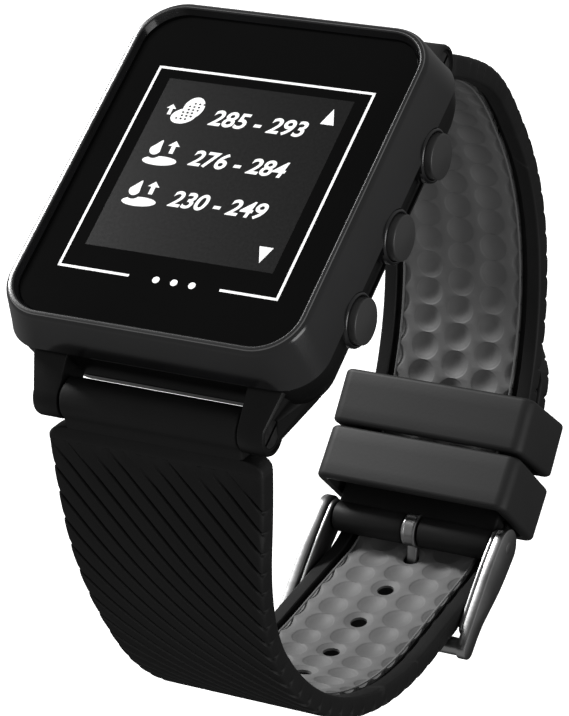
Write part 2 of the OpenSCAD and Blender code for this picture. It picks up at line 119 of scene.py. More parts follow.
def material(name, dark, light, rough, spread=0.06, mottle=90.0, stretch=(1, 1, 1), bump=0.0,
             bump_scale=900.0, bump_depth=0.0002, metallic=0.0, spec=0.5, coat=0.0,
             coat_rough=0.05, glow=0.0, wear=0.0):
    """A procedural finish: mottled colour and roughness, a fine surface and worn edges."""
    mat = bpy.data.materials.new(name)
    mat.use_nodes = True
    tree = mat.node_tree
    shader = tree.nodes["Principled BSDF"]
    shader.inputs["Metallic"].default_value = metallic
    shader.inputs["Specular IOR Level"].default_value = spec
    shader.inputs["Coat Weight"].default_value = coat
    shader.inputs["Coat Roughness"].default_value = coat_rough
    coords = tree.nodes.new("ShaderNodeTexCoord")
    mapping = tree.nodes.new("ShaderNodeMapping")
    mapping.inputs["Scale"].default_value = stretch
    tree.links.new(coords.outputs["Object"], mapping.inputs["Vector"])
    cloud = tree.nodes.new("ShaderNodeTexNoise")
    cloud.inputs["Scale"].default_value = mottle
    cloud.inputs["Detail"].default_value = 4.0
    tree.links.new(mapping.outputs["Vector"], cloud.inputs["Vector"])
    ramp = tree.nodes.new("ShaderNodeValToRGB")
    ramp.color_ramp.elements[0].position = 0.3
    ramp.color_ramp.elements[0].color = (*dark, 1)
    ramp.color_ramp.elements[1].position = 0.7
    ramp.color_ramp.elements[1].color = (*light, 1)
    tree.links.new(cloud.outputs["Fac"], ramp.inputs["Fac"])
    colour = ramp.outputs["Color"]
    if wear:
        geometry = tree.nodes.new("ShaderNodeNewGeometry")
        edge = tree.nodes.new("ShaderNodeMapRange")
        edge.inputs["From Min"].default_value = 0.52
        edge.inputs["From Max"].default_value = 0.62
        edge.inputs["To Max"].default_value = wear
        tree.links.new(geometry.outputs["Pointiness"], edge.inputs["Value"])
        worn = tree.nodes.new("ShaderNodeMix")
        worn.data_type = "RGBA"
        tree.links.new(edge.outputs["Result"], worn.inputs["Factor"])
        tree.links.new(colour, worn.inputs[6])
        worn.inputs[7].default_value = (*[min(1.0, 3 * c + 0.05) for c in light], 1)
        colour = worn.outputs[2]
    tree.links.new(colour, shader.inputs["Base Color"])
    gloss = tree.nodes.new("ShaderNodeMapRange")
    gloss.inputs["To Min"].default_value = max(0.0, rough - spread)
    gloss.inputs["To Max"].default_value = rough + spread
    tree.links.new(cloud.outputs["Fac"], gloss.inputs["Value"])
    tree.links.new(gloss.outputs["Result"], shader.inputs["Roughness"])
    if bump:
        grain = tree.nodes.new("ShaderNodeTexNoise")
        grain.inputs["Scale"].default_value = bump_scale
        grain.inputs["Detail"].default_value = 3.0
        tree.links.new(mapping.outputs["Vector"], grain.inputs["Vector"])
        raised = tree.nodes.new("ShaderNodeBump")
        raised.inputs["Strength"].default_value = bump
        raised.inputs["Distance"].default_value = bump_depth
        tree.links.new(grain.outputs["Fac"], raised.inputs["Height"])
        tree.links.new(raised.outputs["Normal"], shader.inputs["Normal"])
    if glow:
        tree.links.new(colour, shader.inputs["Emission Color"])
        shader.inputs["Emission Strength"].default_value = glow
    return mat


def grey(value, tint=0.0):
    return (value, value, value * (1 + tint))


GLOSS = material("gloss_black_plastic", grey(0.006), grey(0.010, 0.1), 0.17, 0.03, bump=0.012,
                 bump_scale=2500, spec=0.5, coat=0.25, coat_rough=0.12)
# A lighter metallic finish for the rim's two rounded edges: painted highlights where those edges catch
# the light
RIM_EDGE_HIGHLIGHT = material("rim_edge_painted_highlight", grey(0.17), grey(0.22), 0.42, 0.05, metallic=0.6)
GLASS = material("black_backed_glass", grey(0.0025), grey(0.0032), 0.08, 0.02, mottle=40,
                 spec=0.06)
LCD = material("display_pixels_off", grey(0.0075), grey(0.0095), 0.2, 0.03, mottle=3000, spec=0.1)
# White print for the display; its glow of 0.25 is painted light, so marks and numbers shine brighter
# than the lamps make them
INK_WITH_PAINTED_GLOW = material("white_ink_with_painted_glow", grey(0.86), grey(0.92), 0.45, 0.04, mottle=2500, spec=0.3, glow=0.25)
SATIN = material("satin_black_plastic", grey(0.003), grey(0.005), 0.36, 0.05, bump=0.06,
                 bump_scale=2200, spec=0.22, wear=0.06)
CAP = material("button_plastic", grey(0.032), grey(0.040), 0.36, 0.05, bump=0.08,
               bump_scale=2500, spec=0.5)
RUBBER = material("strap_rubber", grey(0.008), grey(0.011), 0.56, 0.07, mottle=160, bump=0.15,
                  bump_scale=2600, bump_depth=0.00012, spec=0.2, wear=0.15)
LOOP = material("keeper_rubber", grey(0.011), grey(0.0135), 0.58, 0.05, mottle=120, bump=0.07,
                bump_scale=2600, bump_depth=0.00012, spec=0.4)
LINING = material("liner_rubber", grey(0.14), grey(0.17), 0.6, 0.06, mottle=140, bump=0.15,
                  bump_scale=2400, bump_depth=0.00012, spec=0.35)
STEEL = material("satin_steel", grey(0.34), grey(0.40), 0.3, 0.05, mottle=300,
                 stretch=(0.12, 1, 1), bump=0.05, bump_scale=1500, metallic=1.0)
COVER = material("brushed_cover", grey(0.50), grey(0.62), 0.30, 0.08, mottle=900,
                 stretch=(0.04, 1, 1), bump=0.3, bump_scale=1500, metallic=1.0)
DARK_STEEL = material("dark_steel", grey(0.10), grey(0.16), 0.32, 0.08, mottle=600, bump=0.2,
                      bump_scale=2000, metallic=1.0)
GOLD = material("gold_plate", (0.72, 0.50, 0.18), (0.83, 0.61, 0.26), 0.2, 0.05, mottle=800,
                bump=0.1, bump_scale=2000, metallic=1.0)
BOARD = material("circuit_board", (0.01, 0.09, 0.035), (0.02, 0.14, 0.06), 0.4, 0.08,
                 mottle=500, bump=0.3, bump_scale=900)
CERAMIC = material("antenna_ceramic", (0.55, 0.50, 0.40), (0.64, 0.58, 0.47), 0.4, 0.05,
                   bump=0.1)
FOIL = material("battery_foil", grey(0.55), grey(0.65), 0.35, 0.1, mottle=60, bump=0.4,
                bump_scale=250, metallic=0.8)
FLOOR = material("pale_floor", grey(0.88), grey(0.90), 0.7, 0.05, mottle=3, bump=0.02,
                 bump_scale=30, spec=0.1, glow=0.55)


# ---- Mesh building -------------------------------------------------------------------------

class Build:
    """Gathers lofts into one mesh; every ring of a loft has the same number of points."""

    def __init__(self):
        self.verts, self.faces, self.slots = [], [], []

    def loft(self, rings, slots=0, around=False):
        base, n = len(self.verts), len(rings[0])
        for ring in rings:
            self.verts += [tuple(p) for p in ring]
        bands = len(rings) if around else len(rings) - 1
        for i in range(bands):
            here, there = base + i * n, base + ((i + 1) % len(rings)) * n
            slot = slots[i] if isinstance(slots, (list, tuple)) else slots
            for j in range(n):
                k = (j + 1) % n
                self.faces.append((here + j, here + k, there + k, there + j))
                self.slots.append(slot)
        for start in () if around else (base, base + (len(rings) - 1) * n):
            self.faces.append(tuple(range(start, start + n)))
            self.slots.append(slots if isinstance(slots, int) else slots[0])

    def turned(self, profile, y, z, steps=72, around=False):
        """A profile of (x, radius) turned about a line along X through y, z."""
        angles = [2 * math.pi * i / steps for i in range(steps)]
        rings = [[(x, y + r * math.cos(a), z + r * math.sin(a)) for a in angles]
                 for x, r in profile]
        self.loft(rings, around=around)


def rounded_ring(half_x, half_y, r, z, steps=10):
    points = []
    for sx, sy, start in ((1, 1, 0), (-1, 1, 90), (-1, -1, 180), (1, -1, 270)):
        for i in range(steps + 1):
            a = math.radians(start + 90 * i / steps)
            points.append((sx * (half_x - r) + r * math.cos(a),
                           sy * (half_y - r) + r * math.sin(a), z))
    return points


def soften(mesh, sharp):
    mesh.polygons.foreach_set("use_smooth", [True] * len(mesh.polygons))
    mesh.set_sharp_from_angle(angle=math.radians(sharp))


def dress(obj, body, swap=()):
    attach(obj, body)
    if swap:
        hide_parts(*swap)
    return obj


def piece(name, build, mats, body, swap=(), sharp=32.0, flip=True):
    """Turns a build in millimetres into an object that rides on a body."""
    mesh = bpy.data.meshes.new(name)
    mesh.from_pydata([[c * MM for c in v] for v in build.verts], [], build.faces)
    for mat in mats:
        mesh.materials.append(mat)
    mesh.polygons.foreach_set("material_index", build.slots)
    work = bmesh.new()
    work.from_mesh(mesh)
    bmesh.ops.remove_doubles(work, verts=work.verts, dist=0.002 * MM)
    if flip:
        bmesh.ops.recalc_face_normals(work, faces=work.faces)
    work.to_mesh(mesh)
    work.free()
    soften(mesh, sharp)
    obj = bpy.data.objects.new(name, mesh)
    bpy.context.scene.collection.objects.link(obj)
    return dress(obj, body, swap)


def cut(obj, cutter):
    """Takes cutter away from obj and removes it."""
    hole = obj.modifiers.new("holes", "BOOLEAN")
    hole.operation = "DIFFERENCE"
    hole.solver = "EXACT"
    hole.object = cutter
    bpy.context.view_layer.update()
    done = bpy.data.meshes.new_from_object(obj.evaluated_get(bpy.context.evaluated_depsgraph_get()))
    obj.modifiers.clear()
    obj.data = done
    bpy.data.objects.remove(cutter)


# ---- Case ----------------------------------------------------------------------------------

def upper_case():
    """The glossy case: its wall, the raised rim, whose two rounded edges get a lighter metallic finish
    as painted highlights, and the well for the glass.
    """
    shell = Build()
    x, y, z = CASE_X, CASE_Y, TOP_Z
    glass_z = lens_high.z
    wall = [(1.6, 1.3, 3.8, SEAM_Z), (0.2, 0.2, 4.6, SEAM_Z), (0.05, 0.05, 4.75, SEAM_Z + 0.06),
            (0, 0, 4.8, SEAM_Z + 0.25), (0.16, 0.12, 5.0, SEAM_Z + 1.2), (0.98, 0.4, 5.6, z - 0.62),
            (1.07, 0.46, 5.5, z - 0.42), (1.22, 0.58, 5.35, z - 0.24), (1.4, 0.76, 5.15, z - 0.1),
            (1.5, 0.85, 5.1, z - 0.02), (1.62, 0.97, 4.98, z), (1.82, 1.17, 4.8, z),
            (1.87, 1.22, 4.75, z - 0.02)]
    rim = [(2.0, 1.36, 4.62, z - 0.12), (2.22, 1.64, 4.45, glass_z + 0.02),
           (2.3, 1.72, 4.4, glass_z - 0.2), (3.2, 2.4, 3.8, glass_z - 0.6), (3.2, 2.4, 3.8, SEAM_Z)]
    rings = [rounded_ring(x - dx, y - dy, r, h, 14) for dx, dy, r, h in wall + rim]
    bands = [0] * len(rings)
    # The rim's two rounded edges take the lighter metallic finish, painted highlights on the black rim
    bands[8] = bands[11] = 1
    shell.loft(rings, bands, around=True)
    obj = piece("upper_case_shell", shell, [GLOSS, RIM_EDGE_HIGHLIGHT], "case", ["upper_case"], 20)
    ways = Build()
    for by, bz in BUTTONS.values():
        ways.turned([(15.0, COLLAR_R + 0.06), (24.0, COLLAR_R + 0.06)], by, bz, steps=64)
    cut(obj, cutter_object(ways))
    soften(obj.data, 20)


def lens():
    """The flat glass, black behind except over the display."""
    glass = Build()
    edge_x, edge_y, top = lens_high.x, lens_high.y, lens_high.z
    rings = [rounded_ring(edge_x, edge_y, 4.6, lens_low.z, 12),
             rounded_ring(edge_x, edge_y, 4.6, top - 0.04, 12),
             rounded_ring(edge_x - 0.04, edge_y - 0.04, 4.56, top, 12)]
    glass.loft(rings)
    piece("lens_glass", glass, [GLASS], "case", ["lens"], 30)


def flat_shape(build, outline, z, slot=0):
    base = len(build.verts)
    build.verts += [(px, py, z) for px, py in outline]
    build.faces.append(tuple(range(base, base + len(outline))))
    build.slots.append(slot)


def ellipse(cx, cy, rx, ry, turn=0.0, steps=28):
    c, s = math.cos(math.radians(turn)), math.sin(math.radians(turn))
    points = []
    for i in range(steps):
        a = 2 * math.pi * i / steps
        u, v = rx * math.cos(a), ry * math.sin(a)
        points.append((cx + u * c - v * s, cy + u * s + v * c))
    return points


def arrow(cx, cy, size, turn=0.0):
    shape = [(-0.5, 0.1), (0, 0.6), (0.5, 0.1), (0.18, 0.1), (0.18, -0.6), (-0.18, -0.6),
             (-0.18, 0.1)]
    c, s = math.cos(math.radians(turn)), math.sin(math.radians(turn))
    return [(cx + size * (u * c - v * s), cy + size * (u * s + v * c)) for u, v in shape]


def drop(cx, cy, size, turn=-18.0, steps=20):
    c, s = math.cos(math.radians(turn)), math.sin(math.radians(turn))
    points = []
    for i in range(steps):
        a = 2 * math.pi * i / steps
        r = size * (0.62 if math.sin(a) < 0 else 0.62 + 0.62 * math.sin(a) ** 3)
        u, v = 0.8 * size * 0.75 * math.cos(a) * (1 - 0.35 * max(0, math.sin(a))), r * math.sin(a)
        points.append((cx + u * c - v * s, cy + u * s + v * c))
    return points


ACTIVE = 11.52                                    # half the display's active square
ACTIVE_Y = 0.22
GLASS_TOP = lens_high.z + 0.004


def display():
    """What shows through the glass: the active square, the printed frame, icons and numbers, in white
    ink with a painted glow.
    """
    square = Build()
    flat_shape(square, [(-ACTIVE, ACTIVE_Y - ACTIVE), (ACTIVE, ACTIVE_Y - ACTIVE),
                        (ACTIVE, ACTIVE_Y + ACTIVE), (-ACTIVE, ACTIVE_Y + ACTIVE)], GLASS_TOP)
    piece("display_window", square, [LCD], "case", sharp=30, flip=False)
    marks = Build()
    dots = Build()
    z, top = GLASS_TOP + 0.006, GLASS_TOP + 0.012
    # Printed frame; the bottom line is broken in the middle
    out_x, out_t, out_b, line = 13.5, 13.25, -14.51, 0.31
    gap_l, gap_r = -4.6, 6.5
    for x0, x1, y0, y1 in ((-out_x, out_x, out_t - line, out_t), (-out_x, gap_l, out_b, out_b + line),
                           (gap_r, out_x, out_b, out_b + line),
                           (-out_x, -out_x + line, out_b, out_t), (out_x - line, out_x, out_b, out_t)):
        flat_shape(marks, [(x0, y0), (x1, y0), (x1, y1), (x0, y1)], z)
    for i in (-1, 0, 1):
        flat_shape(marks, ellipse((gap_l + gap_r) / 2 + 2.2 * i, out_b + line / 2, 0.42, 0.42), z)
    # Scroll marks
    flat_shape(marks, [(8.75, 8.3), (10.4, 8.3), (9.57, 10.45)], z)
    flat_shape(marks, [(8.6, -8.2), (9.44, -10.3), (10.3, -8.2)], z)
    # A sand hazard and two water hazards, each with an arrow to the distance over it
    flat_shape(marks, ellipse(-6.85, 8.15, 1.25, 1.5, -10), z)
    flat_shape(marks, ellipse(-7.6, 6.95, 1.55, 1.05, 18), z)
    for j in range(6):
        for i in range(3):
            shift = 0.28 * (j % 2) + 0.24 * j
            grain = ellipse(-8.35 + 0.56 * i + shift, 6.55 + 0.44 * j, 0.15, 0.13, 0, 8)
            flat_shape(dots, grain, top)
    flat_shape(marks, arrow(-9.5, 7.6, 1.2), z)
    for row in (0.7, -4.9):
        flat_shape(marks, ellipse(-7.8, row - 0.05, 2.1, 0.62, 3), z)
        flat_shape(marks, drop(-8.9, row + 1.35, 1.15), z + 0.03)
        flat_shape(dots, ellipse(-8.88, row + 1.1, 0.95, 0.92), z + 0.015)
        flat_shape(marks, arrow(-6.9, row + 1.95, 1.45), z)
    piece("display_marks", marks, [INK_WITH_PAINTED_GLOW], "case", sharp=30, flip=False)
    piece("display_mark_details", dots, [LCD], "case", sharp=30, flip=False)
    for row, words in ((6.15, "285 - 293"), (0.6, "276 - 284"), (-5.0, "230 - 249")):
        distance(words, row, z)


def distance(words, baseline, z):
    """One line of slanted bold numbers, fitted to its place on the display."""
    curve = bpy.data.curves.new("distance_" + words[:3], "FONT")
    curve.body = words
    curve.shear = 0.22
    curve.offset = 0.022
    curve.resolution_u = 6
    holder = bpy.data.objects.new("distance_" + words[:3], curve)
    bpy.context.scene.collection.objects.link(holder)
    bpy.context.view_layer.update()
    mesh = bpy.data.meshes.new_from_object(
        holder.evaluated_get(bpy.context.evaluated_depsgraph_get()))
    bpy.data.objects.remove(holder)
    co = np.array([v.co for v in mesh.vertices])
    low, high = co.min(0), co.max(0)
    left, right, tall = -4.3, 7.55, 2.2
    build = Build()
    for v in co:
        build.verts.append((left + (v[0] - low[0]) / (high[0] - low[0]) * (right - left),
                            baseline + (v[1] - low[1]) / (high[1] - low[1]) * tall, z))
    for poly in mesh.polygons:
        build.faces.append(tuple(poly.vertices))
        build.slots.append(0)
    piece("distance_" + words[:3], build, [INK_WITH_PAINTED_GLOW], "case", sharp=30, flip=False)


def stadium(a, ra, b, rb, inset, x, steps=20):
    """The outline round two circles, a at the nose and b in the case, drawn in by inset."""
    (ay, az), (by, bz) = a, b
    lean = math.atan2(az - bz, ay - by)
    spread = math.pi - math.acos(max(-1, min(1, (rb - ra) / math.hypot(ay - by, az - bz))))
    points = []
    for centre, r, first, turn in (((ay, az), ra - inset, lean - spread, 2 * spread),
                                   ((by, bz), rb - inset, lean + spread, 2 * (math.pi - spread))):
        for i in range(steps + 1):
            t = first + turn * i / steps
            points.append((x, centre[0] + r * math.cos(t), centre[1] + r * math.sin(t)))
    return points


def lug(build, side, end):
    """One lug: a bar between two circles with a screw's counterbore in its outer face."""
    nose, heel = (PIN_Y, PIN_Z), LUG_HEEL
    nose_r, heel_r = LUG_R, LUG_HEEL_R
    inner, outer = NECK_HALF + 0.1, LUG_OUT
    steps = 20
    count = 2 * (steps + 1)
    rings = []
    for x, inset in ((inner, 0.3), (inner + 0.08, 0.1), (inner + 0.3, 0.0), (outer - 0.4, 0.0),
                     (outer - 0.12, 0.12), (outer, 0.4), (outer, 0.5), (outer - 0.25, 0.62),
                     (outer - 0.27, 0.7)):
        rings.append(stadium(nose, nose_r, heel, heel_r, inset, x, steps))
    for x, r in ((outer - 0.27, 1.55), (outer - 0.36, 1.5), (outer - 1.0, 1.5)):
        ring = []
        for i in range(count):
            dy, dz = rings[0][i][1] - PIN_Y, rings[0][i][2] - PIN_Z
            a = math.atan2(dz, dy)
            ring.append((x, PIN_Y + r * math.cos(a), PIN_Z + r * math.sin(a)))
        rings.append(ring)
    # The outer side sweeps out to meet the corner of the case
    swept = []
    for ring in rings:
        swept.append([])
        for px, py, pz in ring:
            t = max(0.0, min(1.25, (PIN_Y - 0.6 - py) / (PIN_Y - 0.6 - heel[0])))
            share = max(0.0, (px - inner) / (outer - inner))
            swept[-1].append((side * (px + LUG_SWEEP * t * t * share), end * py, pz))
    build.loft(swept)


def cutter_object(build):
    """A closed build as an object for cut() to take away."""
    mesh = bpy.data.meshes.new("cutter")
    mesh.from_pydata([[c * MM for c in v] for v in build.verts], [], build.faces)
    work = bmesh.new()
    work.from_mesh(mesh)
    bmesh.ops.recalc_face_normals(work, faces=work.faces)
    work.to_mesh(mesh)
    work.free()
    obj = bpy.data.objects.new("cutter", mesh)
    bpy.context.scene.collection.objects.link(obj)
    return obj


def lower_case():
    """The black tub under the case, with its lugs, its button channel and the button collars."""
    shell = Build()
    rows = [(1.1, 1.0, 4.2, SEAM_Z), (0.7, 0.55, 4.5, SEAM_Z - 0.1), (0.45, 0.35, 4.5, SEAM_Z - 0.35),
            (0.48, 0.38, 4.5, 5.2), (0.6, 0.45, 4.5, 4.4), (0.9, 0.7, 4.5, 3.4),
            (1.35, 1.0, 4.4, 2.4), (1.85, 1.25, 4.4, 1.65), (2.4, 1.45, 4.4, 1.15),
            (2.75, 1.52, 4.9, 0.93)]
    rings = [rounded_ring(CASE_X - dx, CASE_Y - dy, r, z, 12) for dx, dy, r, z in rows]
    # A thin lip stands in front of the rear cover's edge
    cover = box_mm("rear_cover")[1]
    for grow, z in ((0.12, 0.9), (0.04, 0.85), (-0.3, 0.86), (-0.5, COVER_T - 0.02)):
        rings.append(rounded_ring(cover.x + grow, cover.y + grow, 4.4 + grow, z, 12))
    shell.loft(rings)
    obj = piece("lower_case_shell", shell, [SATIN], "case", ["lower_case"], 28)
    way = Build()
    channel = []
    for step, grow in ((-0.2, -0.35), (-0.15, -0.15), (0, 0), (0.65, 0.12), (5.85, 0.2)):
        channel.append([(CHANNEL_X + step, y, z + CHANNEL_Z) for y, z, _ in
                        rounded_ring(13.2 + grow, 1.75 + grow, 1.2 + 0.5 * grow, 0, 6)])
    way.loft(channel)
    cut(obj, cutter_object(way))
    soften(obj.data, 28)
    lugs = Build()
    for side in (-1, 1):
        for end in (-1, 1):
            lug(lugs, side, end)
    piece("lower_case_lugs", lugs, [SATIN], "case", sharp=28)
    collars = Build()
    for y, z in BUTTONS.values():
        bore, x = CAP_R + 0.07, COLLAR_X
        collars.turned([(17.0, bore), (x - 0.12, bore), (x - 0.04, bore + 0.04), (x, bore + 0.12),
                        (x - 0.02, COLLAR_R - 0.2), (x - 0.1, COLLAR_R - 0.08),
                        (x - 0.25, COLLAR_R), (16.0, COLLAR_R), (16.0, bore)], y, z, around=True)
    piece("button_collars", collars, [GLOSS], "case", sharp=40)


def button(name):
    """A round cap with a softly domed face, on a stem that goes into the case."""
    y, z = BUTTONS[name]
    cap = Build()
    x, r = CAP_X, CAP_R
    cap.turned([(14.3, 0.4), (14.3, 1.0), (17.5, 1.0), (17.5, r - 0.08), (17.6, r),
                (x - 0.5, r), (x - 0.41, r - 0.02), (x - 0.35, r - 0.07), (x - 0.32, r - 0.15),
                (x - 0.3, r - 0.25), (x - 0.23, 1.9), (x - 0.13, 1.35), (x - 0.05, 0.8),
                (x - 0.01, 0.3), (x, 0.02)], y, z)
    piece(name + "_cap", cap, [CAP], name, [name], 40)


# ---- Straps --------------------------------------------------------------------------------

class Path:
    """A strap's middle surface seen from the side, followed from its bar in the case."""

    def __init__(self, heading, arcs, side):
        self.heading, self.arcs, self.side = math.radians(heading), arcs, side

    def at(self, s):
        s = np.asarray(s, float)
        y = PIN_Y + np.minimum(s, 0) * math.cos(self.heading)
        z = PIN_Z - np.minimum(s, 0) * math.sin(self.heading)
        a = np.full_like(s, self.heading)
        start = 0.0
        for length, turn in self.arcs:
            t = np.clip(s - start, 0, length)
            bend = math.radians(turn) / length
            a1 = a + bend * t
            y = y + (np.sin(a1) - np.sin(a)) / bend
            z = z + (np.cos(a1) - np.cos(a)) / bend
            a = a1
            start += length
        beyond = np.maximum(s - start, 0)
        return y + beyond * np.cos(a), z - beyond * np.sin(a), a

    def bend(self, x, h, s):
        """Points at x across, h outwards of the middle and s along, in the row frame."""
        y, z, a = self.at(s)
        return np.stack([x, self.side * (y + h * np.sin(a)), z + h * np.cos(a)], -1)


UPPER = Path(UPPER_HEADING, UPPER_ARCS, 1)
LOWER = Path(LOWER_HEADING, LOWER_ARCS, -1)


def half_width(path, s):
    """Half the strap's width, from the shoulders under the lugs to the buckle."""
    z = path.at(s)[1]
    t = np.clip((z - WAIST_Z) / (SHOULDER_Z - WAIST_Z), 0, 1)
    t = t * t * (3 - 2 * t) * 0.55 + t * 0.45
    return STRAP_HALF + (SHOULDER_HALF - STRAP_HALF) * t


GROOVE_S, GROOVE_X = 2.8, 2.5                     # spacing of the slanted grooves, along and across
GROOVE_DEPTH, GROOVE_START = 0.5, 6.5
# Depth over one spacing of the grooves: a narrow cut, then a ridge that leans a little
GROOVE_SHAPE = [(0.0, 1.0), (0.045, 0.95), (0.085, 0.35), (0.12, 0.06), (0.2, 0.0), (0.5, 0.02),
                (0.8, 0.10), (0.88, 0.2), (0.915, 0.45), (0.955, 0.95)]


def section(t):
    """The strap's cross-section: rows of (x = a * half width + b, h, recess share, groove share,
    outward direction)."""
    rows = []
    corner, soft = 0.5, 0.35
    for i in range(15):
        f = -1 + 2 * i / 14
        rows.append((f, -corner * f, t, 0, 1.0, (0, 1)))
    right = []
    for deg in (67.5, 45, 22.5, 0):
        c, s = math.cos(math.radians(deg)), math.sin(math.radians(deg))
        right.append((1, -corner + corner * c, t - corner + corner * s, 0, 0.75 + 0.25 * s, (c, s)))
    right.append((1, 0, 0.45, 0, 0.4, (1, 0)))
    right.append((1, 0, 0.0, 0, 0.0, (1, 0)))
    right.append((1, 0, -t + soft, 0, 0.0, (1, 0)))
    for deg in (-30, -60, -90):
        c, s = math.cos(math.radians(deg)), math.sin(math.radians(deg))
        right.append((1, -soft + soft * c, -t + soft + soft * s, 0, 0.0, (c, s)))
    right.append((1, -RIM_W + 0.12, -t, 0, 0.0, (0, -1)))
    right.append((1, -RIM_W, -t, 0.15, 0.0, (0, -1)))
    right.append((1, -RIM_W, -t, 1, 0.0, (0, -1)))
    left = [(-a, -b, h, r, g, (-n[0], n[1])) for a, b, h, r, g, n in reversed(right)]
    floor = [(f, -f * RIM_W, -t, 1, 0.0, (0, -1)) for f in np.linspace(0.86, -0.86, 13)]
    return rows + right + floor + left


def ramp(s, at, width=0.5):
    return np.clip((s - at) / width, 0, 1)


def strap_bar(path, start, end, recess_end, tip=None):
    """The strap from start to end as a bmesh in (x, h, s), grooved outside, recessed inside."""
    rows = section(STRAP_HALF_T)
    a, b, h0, rec, grv, nrm = [np.array(c, float) for c in zip(*rows)]
    reach = SHOULDER_HALF / GROOVE_X + 1
    phases, depths = [], []
    for k in range(int(start / GROOVE_S - reach) - 1, int(end / GROOVE_S + reach) + 2):
        for p, d in GROOVE_SHAPE:
            phases.append(k + p)
            depths.append(d)
    phase = np.array(phases)[:, None]
    depth = np.array(depths)[:, None]
    s = phase * GROOVE_S + 0 * a
    for _ in range(12):
        w = half_width(path, s)
        x = a * w + b
        s = GROOVE_S * (phase + x / GROOVE_X)
    x = a * half_width(path, s) + b
    cut_in = GROOVE_DEPTH * depth * grv * ramp(s, GROOVE_START) * ramp(-s, -end + 0.6)
    recess = RECESS * ramp(s, LINER_START - 1, 0.4) * ramp(-s, -recess_end - 0.4, 0.4)
    x = x - cut_in * nrm[:, 0]
    h = h0 + rec * recess - cut_in * nrm[:, 1]
    work = bmesh.new()
    grid = [[work.verts.new((x[i, j], h[i, j], s[i, j])) for j in range(len(a))]
            for i in range(len(phases))]
    for i in range(len(grid) - 1):
        for j in range(len(a)):
            k = (j + 1) % len(a)
            work.faces.new((grid[i][j], grid[i][k], grid[i + 1][k], grid[i + 1][j]))
    planes = [((0, 0, start), (0, 0, -1)), ((0, 0, end), (0, 0, 1))]
    if tip:
        centre, r = tip
        for deg in np.arange(-84, 84.1, 7.0):
            c, sn = math.cos(math.radians(deg)), math.sin(math.radians(deg))
            planes.append(((r * sn, 0, centre + r * c), (sn, 0, c)))
    for co, no in planes:
        done = bmesh.ops.bisect_plane(
            work, geom=work.verts[:] + work.edges[:] + work.faces[:], plane_co=co, plane_no=no,
            clear_outer=True, dist=1e-5)
        edges = [e for e in done["geom_cut"] if isinstance(e, bmesh.types.BMEdge)]
        bmesh.ops.holes_fill(work, edges=edges, sides=0)
    return work


def bend_mesh(work, path):
    co = np.array([v.co for v in work.verts])
    bent = path.bend(co[:, 0], co[:, 1], co[:, 2]) * MM
    for v, p in zip(work.verts, bent):
        v.co = p


def neck(path):
    """The strap's end round its bar in the case, and the shoulders below it."""
    build = Build()
    t = STRAP_HALF_T
    steps = [-KNUCKLE_R + 0.01, -2.31, -2.2, -2.0, -1.7, -1.3, -0.8, -0.2, 0.4, 0.9, 1.3, 1.6, 1.9,
             2.2, 2.6, 2.95, 3.0, 3.05, 3.15, 3.35, 3.65, 4.0, 4.3, 4.7]
    rings = []
    for s in steps:
        round_t = math.sqrt(max(KNUCKLE_R ** 2 - s * s, 1e-4)) if s < KNUCKLE_R else 0.0
        blend = t + 0.5 * max(0.0, 1 - max(0.0, s - 1.4) / 1.8) ** 2 if s > 0 else 0.0
        half_t = max(round_t, blend)
        wide = float(half_width(path, s))
        if s < NECK_S:
            half = NECK_HALF - 0.25 * max(0.0, -s - 1.5)
        else:
            f = min(1.0, (s - NECK_S) / 1.3)
            half = NECK_HALF + (wide - NECK_HALF) * math.sqrt(1 - (1 - f) ** 2)
        soft = min(0.45, half_t * 0.6)
        ring = []
        for sx, sh, a0 in ((1, 1, 0), (-1, 1, 90), (-1, -1, 180), (1, -1, 270)):
            for i in range(6):
                q = math.radians(a0 + 90 * i / 5)
                ring.append((sx * (half - soft) + soft * math.cos(q),
                             sh * (half_t - soft) + soft * math.sin(q)))
        ring = np.array(ring)
        rings.append(path.bend(ring[:, 0], ring[:, 1], np.full(len(ring), s)))
    build.loft(rings)
    return build


def strap(name, path, length, recess_end, tip=None):
    """One strap half without its end round the bar in the case."""
    work = strap_bar(path, 4.6, length, recess_end, tip)
    bend_mesh(work, path)
    bmesh.ops.remove_doubles(work, verts=work.verts, dist=0.004 * MM)
    bmesh.ops.recalc_face_normals(work, faces=work.faces)
    mesh = bpy.data.meshes.new(name)
    work.to_mesh(mesh)
    work.free()
    mesh.materials.append(RUBBER)
    obj = bpy.data.objects.new(name, mesh)
    bpy.context.scene.collection.objects.link(obj)
    return obj


def hole_cutter(path, places):
    """Drills through the strap at each (s, radius, slant)."""
    build = Build()
    for s, r, slant in places:
        tilt = math.radians(slant)
        rings = []
        for h in (-4.0, 4.0):
            q = np.linspace(0, 2 * math.pi, 32, endpoint=False)
            x = r * np.cos(q)
            u = r * np.sin(q)
            y, z, a = [float(c) for c in path.at(s)]
            along = np.array([path.side * math.cos(a), -math.sin(a)])
            out = np.array([path.side * math.sin(a), math.cos(a)])
            drill = out * math.cos(tilt) - along * math.sin(tilt)
            over = along * math.cos(tilt) + out * math.sin(tilt)
            centre = np.array([path.side * y, z]) + h * drill
            rings.append([(x[i], *(centre + u[i] * over)) for i in range(len(q))])
        build.loft(rings)
    return cutter_object(build)


DIMPLE_R, DIMPLE_DEPTH = 1.8, 0.52
DIMPLE_X, DIMPLE_S = 4.38, HOLE_PITCH / 2
SPHERE_R = (DIMPLE_R ** 2 + DIMPLE_DEPTH ** 2) / (2 * DIMPLE_DEPTH)
LINER_FACE = -STRAP_HALF_T + 0.08


